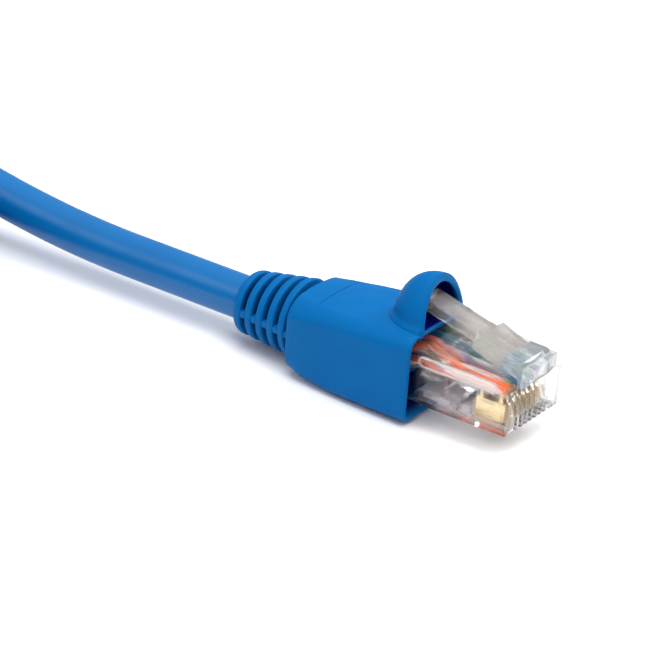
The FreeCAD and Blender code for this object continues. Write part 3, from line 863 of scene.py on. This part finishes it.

# %% [markdown]
# The skin and the hood become one mesh, made once. Three kinds of place are marked as sunk, for
# the painted shade: the inside, the floor of the slots, and the patch of the body's top under the
# hood. A copy goes to each end, on the body that slides.

# %% Boots
def under_hood(place):
    ahead, side, up = (place - NOSE["near"]) / MM
    return ahead < -13.1 and up > 7.0 and math.hypot(side / 3.6, (ahead + MOUTH) / 5.0) < 1


def in_slot(place):
    middle = spot(0, 0, CABLE_LEVEL)
    return math.hypot(place.y - middle.y, place.z - middle.z) < 3.2 * MM


def boot_mesh():
    work = bmesh.new()
    # The sunk attribute marks where painted shade goes: the inside, the slot floors, the top
    # under the hood and the hood's inner wall.
    sunk = work.verts.layers.float.new("sunk")
    rows = band(work, OUTSIDE_RINGS + INSIDE_RINGS, closed_run=True)
    skin = rows[:len(OUTSIDE_RINGS)]
    painted_shade_verts = [v for row in rows[len(OUTSIDE_RINGS) + 2:-2] for v in row]
    painted_shade_verts += [v for row in skin for v in row if in_slot(v.co)]
    painted_shade_verts += [v for row in skin[:24] for v in row if under_hood(v.co)]
    rows = band(work, [hood_profile(math.pi * i / HOOD_SLICES) for i in range(HOOD_SLICES + 1)])
    painted_shade_verts += [v for row in rows for v in row[HOOD_STEPS + 2:2 * HOOD_STEPS]]
    for vert in painted_shade_verts:
        vert[sunk] = 1.0
    work.faces.new(rows[0])
    work.faces.new(rows[-1])
    return closed_mesh("boot", work)


BOOT_MESH = boot_mesh()
for end in ENDS:
    mesh = BOOT_MESH.copy()
    mesh.transform(Matrix.Translation(END_STEP[end]))
    boot = add_piece(f"{end}_boot_skin", mesh, BOOT)
    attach(boot, f"{end}_boot_body")
    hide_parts(f"{end}_boot")
print("boot:", len(BOOT_MESH.polygons), "faces")

# %% [markdown]
# ## The clear plug
#
# The plug is a clear moulding with a cavity for the wires. Two bars are pressed up through
# its floor, one on the jacket and one on the wires, and a tray keeps the wires in order.
# All of these keep their CAD shapes with softened edges. On the housing only the two side
# outlines and the latch's root are softened, because a bevel round each contact slot would
# fill the clear nose with glare. The latch lever is moulded with the housing and bends at
# its root. Here it rides its own body, which turns about the root.

# %% Housing, tray, bars and latch
CLEAR_PARTS = [
    ("plug_housing", CLEAR, 0.2), ("load_bar", CLEAR, 0.05),
    ("jacket_clamp_bar", FROSTED, 0.06), ("wire_clamp_bar", FROSTED, 0.06),
]
SIDE_EDGE, ROOT_EDGE = 5.8 * MM, 7.5 * MM


def outer_edge(end):
    """A test for the housing's outer edges: its two side outlines and its latch block."""
    def test(edge):
        return all(abs(v.co.y - NOSE[end].y) > SIDE_EDGE or v.co.z - NOSE[end].z > ROOT_EDGE
                   for v in edge.verts)
    return test


def tint_block(item, end):
    """Gives the solid block at the latch's root, up front in the middle, its cooler tone."""
    item.data.materials.append(BLOCK)
    for face in item.data.polygons:
        ahead, side, up = (face.center - NOSE[end]) / MM
        if ahead > -3.2 and abs(side) < 3.1 and up > 4.95:
            face.material_index = 1


for end in ENDS:
    for node, finish, width in CLEAR_PARTS:
        keep = outer_edge(end) if node == "plug_housing" else every_edge
        piece = softened(f"{end}_{node}_soft", f"{end}_{node}", finish, width, keep)
        if node == "plug_housing":
            tint_block(piece, end)
        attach(piece, "lead")
        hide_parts(f"{end}_{node}")
    latch = softened(f"{end}_latch_soft", f"{end}_latch_lever", SMOKY, 0.16)
    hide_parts(f"{end}_latch_lever")
    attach(latch, f"{end}_latch")
    print(end, "latch:", len(latch.data.polygons), "faces")
print("clear parts:", ", ".join(node for node, _, _ in CLEAR_PARTS))

# %% [markdown]
# ## The contacts
#
# Eight equal blades stand side by side at one pitch. Geometry Nodes set copies of one
# blade out on a line, join them and give them their metal. The tree ends in real geometry,
# because an export drops instances.

# %% A tree that makes a row
def row_tree():
    """Repeats the mesh it is given, so many times at one step, and sets its material."""
    tree = bpy.data.node_groups.new("row of copies", "GeometryNodeTree")
    make = tree.interface.new_socket
    make("Geometry", in_out="INPUT", socket_type="NodeSocketGeometry")
    make("Count", in_out="INPUT", socket_type="NodeSocketInt").default_value = 8
    make("Step", in_out="INPUT", socket_type="NodeSocketVector").default_value = (0, 0.001, 0)
    make("Material", in_out="INPUT", socket_type="NodeSocketMaterial")
    make("Geometry", in_out="OUTPUT", socket_type="NodeSocketGeometry")
    start, end = tree.nodes.new("NodeGroupInput"), tree.nodes.new("NodeGroupOutput")
    line = tree.nodes.new("GeometryNodeMeshLine")
    copies = tree.nodes.new("GeometryNodeInstanceOnPoints")
    real = tree.nodes.new("GeometryNodeRealizeInstances")
    paint = tree.nodes.new("GeometryNodeSetMaterial")
    link = tree.links.new
    link(start.outputs["Count"], line.inputs["Count"])
    link(start.outputs["Step"], line.inputs["Offset"])
    link(line.outputs["Mesh"], copies.inputs["Points"])
    link(start.outputs["Geometry"], copies.inputs["Instance"])
    link(copies.outputs["Instances"], real.inputs["Geometry"])
    link(real.outputs["Geometry"], paint.inputs["Geometry"])
    link(start.outputs["Material"], paint.inputs["Material"])
    link(paint.outputs["Geometry"], end.inputs["Geometry"])
    return tree


ROW_TREE = row_tree()
print("tree:", ROW_TREE.name, "with", len(ROW_TREE.nodes), "nodes")

# %% [markdown]
# A modifier's input is set by its socket's identifier, before the object is evaluated.
# The result is kept as a plain mesh and the modifier is taken off.

# %% Contacts
CONTACTS, CONTACT_PITCH = 8, 1.02 * MM


def row_of(item, count, step, finish):
    """Replaces an object's mesh with a row of it, as plain mesh."""
    change = item.modifiers.new("row", "NODES")
    change.node_group = ROW_TREE
    names = {s.name: s.identifier for s in ROW_TREE.interface.items_tree if s.in_out == "INPUT"}
    change[names["Count"]], change[names["Step"]] = count, step
    change[names["Material"]] = finish
    ready = item.evaluated_get(bpy.context.evaluated_depsgraph_get())
    mesh = bpy.data.meshes.new_from_object(ready)
    item.modifiers.remove(change)
    item.data = mesh


for end in ENDS:
    blades = softened(f"{end}_contacts", f"{end}_contact_1", GILT, 0.03)
    row_of(blades, CONTACTS, (0, CONTACT_PITCH, 0), GILT)
    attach(blades, "lead")
    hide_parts(*[f"{end}_contact_{i + 1}" for i in range(CONTACTS)])
    print(end, "contacts:", len(blades.data.polygons), "faces")

# %% [markdown]
# ## The side frames
#
# On each side of the plug a long rounded frame is moulded round the wires. Only its edge shows,
# as a pale line that catches the light, so it is one thin closed tube along a loop with two
# half-round ends. The tube's pale colour is a painted highlight along that edge.

# %% Side frames
FRAME_FRONT, FRAME_REAR, FRAME_LOW, FRAME_HIGH, FRAME_SIDE = 1.9, 12.5, 4.6, 5.75, 5.1
FRAME_RADIUS, FRAME_AROUND = 0.11, 10


def stadium(end, side):
    """Places round a long loop with two half-round ends, on one side of the plug."""
    radius, middle = (FRAME_HIGH - FRAME_LOW) / 2, (FRAME_HIGH + FRAME_LOW) / 2
    loop = []
    for centre, start in ((FRAME_FRONT + radius, -90), (FRAME_REAR - radius, 90)):
        for step in range(13):
            turn = math.radians(start + 15 * step)
            loop.append(spot(centre - radius * math.cos(turn), side,
                             middle + radius * math.sin(turn), end))
    return loop


def frame_mesh(name, end, side):
    loop = stadium(end, side)
    across = Vector((0, 1, 0))
    rings = []
    for i, place in enumerate(loop):
        ahead = (loop[(i + 1) % len(loop)] - loop[i - 1]).normalized()
        outward = ahead.cross(across)
        rings.append([
            place + (across * math.cos(a) + outward * math.sin(a)) * FRAME_RADIUS * MM
            for a in (2 * math.pi * k / FRAME_AROUND for k in range(FRAME_AROUND))])
    work = bmesh.new()
    band(work, rings, closed_run=True)
    return closed_mesh(name, work)


for end in ENDS:
    for label, side in (("left", -FRAME_SIDE), ("right", FRAME_SIDE)):
        name = f"{end}_{label}_side_frame"
        # The pale tube is a painted highlight along the frame's edge.
        piece = add_piece(name, frame_mesh(name, end, side), EDGE_HIGHLIGHT)
        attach(piece, "lead")
print("side frames:", FRAME_REAR - FRAME_FRONT, "mm long")

# %% [markdown]
# ## The wires
#
# The eight wires lie side by side at the contacts. Behind the tray they fan upwards and
# inwards, the full colours above the pale ones, cross slightly and go into the jacket as a
# ring. One rule gives every wire's corners from its number, and a smooth curve joins them.

# %% The lay of the wires
WIRE_RADIUS, WIRE_SIDES, LINE_STEPS = 0.49, 16, 9
JACKET_MIDDLE, JACKET_RING = 3.35, 1.5


def wire_stations(index):
    """A wire's corners, in millimetres from the nose, from its cut end to the jacket."""
    side = CONTACT_PITCH / MM * (index - 3.5)
    solid = index % 2 == 1
    ring = math.radians(22.5 + 45 * (index // 2))
    ring = math.pi - ring if solid else math.pi + ring
    tuck, level = JACKET_RING * math.cos(ring), JACKET_MIDDLE + JACKET_RING * math.sin(ring)
    high, sway = (0.55, 0.12) if solid else (0.0, -0.12)
    return [
        (1.75 + 0.12 * (index % 3), side, 4.35), (5.0, side, 4.35), (7.6, side, 4.36),
        (9.4, side + sway * 0.5, 4.3 + high * 1.3), (11.4, side * 0.94 + sway, 4.2 + high * 2.4),
        (13.2, side * 0.76 + sway, 4.1 + high * 2.8),
        (15.0, (side + tuck) * 0.5, (4.2 + level) / 2 + high * 1.8),
        (16.7, tuck, level), (19.0, tuck, level),
    ]


def rounded_line(corners):
    """Points on a smooth curve through the corners."""
    line, last = [], len(corners) - 1
    for i in range(last):
        a, b, c, d = (corners[min(max(k, 0), last)] for k in (i - 1, i, i + 1, i + 2))
        for k in range(LINE_STEPS):
            t = k / LINE_STEPS
            line.append(((2 * b) + (c - a) * t + (2 * a - 5 * b + 4 * c - d) * t**2
                         + (3 * b - a - 3 * c + d) * t**3) / 2)
    return line + [corners[-1]]


print(len(rounded_line([spot(*p) for p in wire_stations(0)])), "points along a wire")

# %% [markdown]
# A wire is a swept tube with flat ends. A curve's own bevel has no UV map that fits the
# stripe, so the tube is built here, and each corner of a face keeps the length along the
# wire and the turn round it. The copper cores and the jacket's end stay as the CAD made
# them and only get their materials.

# %% Wires
def wire_rings(line):
    """Rings of places round a line, and the length along the line at each ring."""
    rings, lengths = [], [0.0]
    for i, place in enumerate(line):
        ahead = (line[min(i + 1, len(line) - 1)] - line[max(i - 1, 0)]).normalized()
        level = ahead.cross(Vector((0, 0, 1))).normalized()
        upright = level.cross(ahead)
        if i:
            lengths.append(lengths[-1] + (place - line[i - 1]).length / MM)
        rings.append([
            place + (level * math.cos(a) + upright * math.sin(a)) * WIRE_RADIUS * MM
            for a in (2 * math.pi * k / WIRE_SIDES for k in range(WIRE_SIDES))])
    return rings, lengths


def wire_mesh(name, end, index):
    rings, lengths = wire_rings(rounded_line([spot(*p, end) for p in wire_stations(index)]))
    work = bmesh.new()
    lay = work.loops.layers.uv.new("lay")
    rows = [[work.verts.new(place) for place in ring] for ring in rings]
    for i, (row, after) in enumerate(zip(rows, rows[1:])):
        for k in range(WIRE_SIDES):
            n = (k + 1) % WIRE_SIDES
            face = work.faces.new((row[k], row[n], after[n], after[k]))
            marks = ((i, k), (i, k + 1), (i + 1, k + 1), (i + 1, k))
            for loop, (far, turn) in zip(face.loops, marks):
                loop[lay].uv = (lengths[far], turn / WIRE_SIDES)
    for row in (rows[0], rows[-1]):
        work.faces.new(row)
    return closed_mesh(name, work)


def repaint(node, finish):
    """Gives a CAD part a finish and leaves its mesh alone."""
    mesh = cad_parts[node].data
    mesh.materials.clear()
    mesh.materials.append(finish)


for end in ENDS:
    for index, finish in enumerate(WIRE_FINISHES):
        name = f"{end}_wire_{index + 1}"
        piece = add_piece(name + "_lay", wire_mesh(name + "_lay", end, index), finish)
        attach(piece, "lead")
        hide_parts(name)
    repaint(f"{end}_wire_cores", COPPER)
    repaint(f"{end}_jacket_end", JACKET)
print(len(ENDS) * len(WIRE_FINISHES), "wires made")

# %% [markdown]
# ## The cable
#
# A patch cable is a fixed length of something springy and round. It leaves the boot's
# neck straight, climbs onto the coil, goes round inwards on top, drops to the floor at
# the inner turn, goes round outwards and ends in the far boot. The places outside the coil
# are a short list in millimetres, and the turns of the coil are worked out by a rule.

# %% The cable's route
RUN_POINTS = [
    (-20.2, 0, 4.77), (-31, 0, 4.77), (-45, 0, 4.77), (-57.5, 0, 6.0), (-68.5, 0, 8.0),
]
TAIL_POINTS = [(-66, -69.6, 4.77), (-51, -69.6, 4.77)]
COIL_MIDDLE = Vector((-80.0, -33.4, 0))
TURNS, TOP_TURNS, POINTS_PER_TURN = 4.5, 2.0, 16
OUTER_RADIUS, TURN_PITCH = 33.4, 5.6
LOW_LEVEL, TOP_LEVEL, EXIT_LEVEL = 2.8, 8.4, 4.77


def ease(value):
    value = min(max(value, 0.0), 1.0)
    return value * value * (3 - 2 * value)


def coil_point(turn):
    """A control point of the coil, so many turns from its start."""
    inner = OUTER_RADIUS - TOP_TURNS * TURN_PITCH
    if turn < TOP_TURNS:
        radius = OUTER_RADIUS - TURN_PITCH * turn
    else:
        radius = inner + TURN_PITCH * (turn - TOP_TURNS)
    radius /= math.cos(math.pi / POINTS_PER_TURN)
    angle = math.radians(90) + 2 * math.pi * turn
    drop = ease((turn - TOP_TURNS + 0.15) / 0.3) * (TOP_LEVEL - LOW_LEVEL)
    rise = ease((turn - TURNS + 0.25) / 0.25) * (EXIT_LEVEL - LOW_LEVEL)
    around = Vector((math.cos(angle), math.sin(angle), 0)) * radius
    return COIL_MIDDLE + around + Vector((0, 0, TOP_LEVEL - drop + rise))


def cable_route():
    steps = int(TURNS * POINTS_PER_TURN)
    coil = [coil_point(i / POINTS_PER_TURN) for i in range(steps + 1)]
    run = [Vector(p) for p in RUN_POINTS]
    tail = [Vector(p) for p in TAIL_POINTS]
    return [p * MM for p in run + coil + tail]


ROUTE = cable_route()
print(len(ROUTE), "control points,", TURNS, "turns")

# %% [markdown]
# The route's places are the control points of one smooth spline. Such a spline touches the
# middle of each side between its control points, so on a straight run it is straight, and
# in the coil it is round once the radius is divided by the cosine of half a step. The
# thickness is set on the points, and the bevel depth stays at one.

# %% Cable
CABLE_DIAMETER = 5.55 * MM


def smooth_curve(name, points, radius):
    """A round tube on one smooth spline, with those points as its control points."""
    data = bpy.data.curves.new(name, "CURVE")
    data.dimensions = "3D"
    spline = data.splines.new("NURBS")
    spline.points.add(len(points) - 1)
    for point, place in zip(spline.points, points):
        point.co, point.radius = (*place, 1), radius
    spline.use_endpoint_u = True
    spline.order_u = 3
    spline.resolution_u = 6
    data.bevel_depth = 1.0
    data.bevel_resolution = 8
    data.use_fill_caps = True
    item = bpy.data.objects.new(name, data)
    scene.collection.objects.link(item)
    return item


def spline_length(item):
    data = item.data.copy()
    data.bevel_depth = 0
    bare = bpy.data.objects.new("bare", data)
    scene.collection.objects.link(bare)
    ready = bare.evaluated_get(bpy.context.evaluated_depsgraph_get())
    mesh = bpy.data.meshes.new_from_object(ready)
    places = [vert.co for vert in mesh.vertices]
    length = sum((places[a] - places[b]).length for a, b in (e.vertices for e in mesh.edges))
    bpy.data.objects.remove(bare)
    return length


cable = smooth_curve("cable", ROUTE, CABLE_DIAMETER / 2)
CABLE_LENGTH = spline_length(cable)
print(f"cable between the boots: {CABLE_LENGTH:.4f} m")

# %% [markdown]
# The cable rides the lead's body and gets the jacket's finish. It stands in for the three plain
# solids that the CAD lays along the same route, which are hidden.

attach(cable, "lead")
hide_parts("cable_run", "cable_coil", "cable_tail")
cable.data.materials.append(JACKET)

# %% [markdown]
# ## Finish
#
# The view layer is updated.

# %% Finish
bpy.context.view_layer.update()
